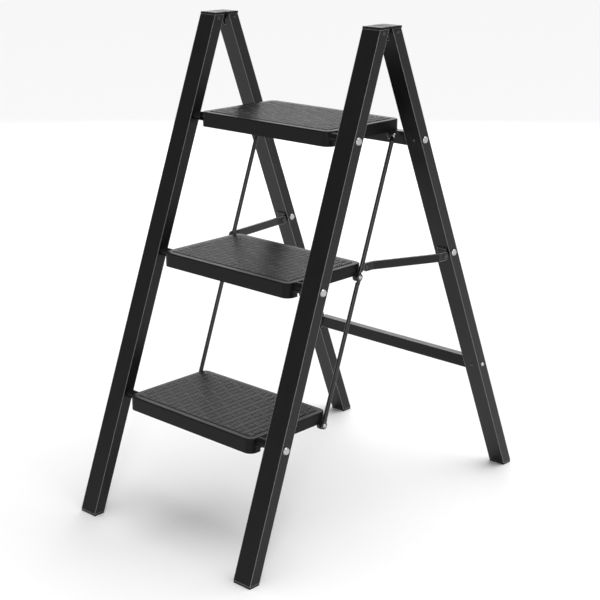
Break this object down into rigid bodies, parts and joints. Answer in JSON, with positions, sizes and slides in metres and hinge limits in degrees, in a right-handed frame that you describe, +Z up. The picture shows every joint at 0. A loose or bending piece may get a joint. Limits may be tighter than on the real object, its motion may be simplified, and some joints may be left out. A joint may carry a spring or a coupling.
{
  "type": "folding step stool",
  "caption": "Folding A-frame step stool with flat treads hung between rectangular tube legs, link rods and side stays.",
  "frame": {"origin": "on the floor, at the centre of the rectangle around the four feet", "axes": "+X to the right of a person facing the treads, +Y from the tread side to the rear frame, +Z up"},
  "size_m": [0.4742, 0.7514, 0.916],
  "materials": {
    "frame_tube": "satin black powder coat",
    "link_rod": "black coated rod",
    "moulded_black": "fine grained black moulding",
    "tread_rubber": "ribbed anti-slip rubber",
    "foot_rubber": "dull black rubber",
    "bright_rivet": "bright zinc rivet",
    "black_rivet": "blackened steel"
  },
  "bodies": {
    "front_frame": {"front_leg_left": "frame_tube", "front_leg_right": "frame_tube", "front_foot_left": "foot_rubber", "front_foot_right": "foot_rubber", "front_cap_left": "moulded_black", "front_cap_right": "moulded_black", "hinge_tongues": "black_rivet", "hinge_tongue_rivets": "black_rivet", "tread_pivot_rivets": "bright_rivet", "tread_pivot_bushes": "moulded_black"},
    "rear_frame": {"rear_leg_left": "frame_tube", "rear_leg_right": "frame_tube", "rear_foot_left": "foot_rubber", "rear_foot_right": "foot_rubber", "rear_cap_left": "moulded_black", "rear_cap_right": "moulded_black", "hinge_pins": "black_rivet", "rear_leg_rivets": "bright_rivet", "upper_cross_bar": "frame_tube", "upper_cross_bar_end_plates": "frame_tube", "lower_cross_bar": "frame_tube", "lower_cross_bar_end_plates": "frame_tube", "face_rivets": "black_rivet", "stay_clips": "frame_tube", "stay_pins": "black_rivet"},
    "bottom_tread": {"bottom_tread_pan": "moulded_black", "bottom_tread_mat": "tread_rubber", "bottom_tread_link_bosses": "black_rivet", "bottom_tread_link_pins": "bright_rivet"},
    "middle_tread": {"middle_tread_pan": "moulded_black", "middle_tread_mat": "tread_rubber", "middle_tread_link_bosses": "black_rivet", "middle_tread_link_pins": "bright_rivet"},
    "top_tread": {"top_tread_pan": "moulded_black", "top_tread_mat": "tread_rubber", "top_tread_link_bosses": "black_rivet", "top_tread_link_pins": "bright_rivet"},
    "upper_links": {"upper_link_rod_left": "link_rod", "upper_link_rod_right": "link_rod"},
    "lower_links": {"lower_link_rod_left": "link_rod", "lower_link_rod_right": "link_rod"},
    "stays": {"stay_left": "frame_tube", "stay_right": "frame_tube", "stay_front_rivets": "black_rivet"}
  },
  "joints": [
    {"name": "frame_fold", "type": "hinge", "parent": "front_frame", "child": "rear_frame", "pos_m": [0, 0.0034, 0.905], "axis": [-1, 0, 0], "range_deg": [0, 34]},
    {"name": "bottom_tread_fold", "type": "hinge", "parent": "front_frame", "child": "bottom_tread", "pos_m": [0, -0.28374, 0.2255], "axis": [1, 0, 0], "range_deg": [0, 65.1]},
    {"name": "middle_tread_fold", "type": "hinge", "parent": "front_frame", "child": "middle_tread", "pos_m": [0, -0.18984, 0.4845], "axis": [1, 0, 0], "range_deg": [0, 65.1]},
    {"name": "top_tread_fold", "type": "hinge", "parent": "front_frame", "child": "top_tread", "pos_m": [0, -0.10047, 0.731], "axis": [1, 0, 0], "range_deg": [0, 65.1]},
    {"name": "upper_link_swing", "type": "hinge", "parent": "middle_tread", "child": "upper_links", "pos_m": [0, -0.02964, 0.4675], "axis": [-1, 0, 0], "range_deg": [0, 65.1]},
    {"name": "lower_link_swing", "type": "hinge", "parent": "bottom_tread", "child": "lower_links", "pos_m": [0, -0.12354, 0.2085], "axis": [-1, 0, 0], "range_deg": [0, 65.1]},
    {"name": "stay_swing", "type": "hinge", "parent": "rear_frame", "child": "stays", "pos_m": [0, 0.14944, 0.48202], "axis": [-1, 0, 0], "range_deg": [0, 52.3]}
  ],
  "couplings": [
    {"joint": "bottom_tread_fold", "follows": "frame_fold", "ratio": 1.9144},
    {"joint": "middle_tread_fold", "follows": "frame_fold", "ratio": 1.9144},
    {"joint": "top_tread_fold", "follows": "frame_fold", "ratio": 1.9144},
    {"joint": "upper_link_swing", "follows": "frame_fold", "ratio": 1.9144},
    {"joint": "lower_link_swing", "follows": "frame_fold", "ratio": 1.9144},
    {"joint": "stay_swing", "follows": "frame_fold", "ratio": 1.5371}
  ]
}
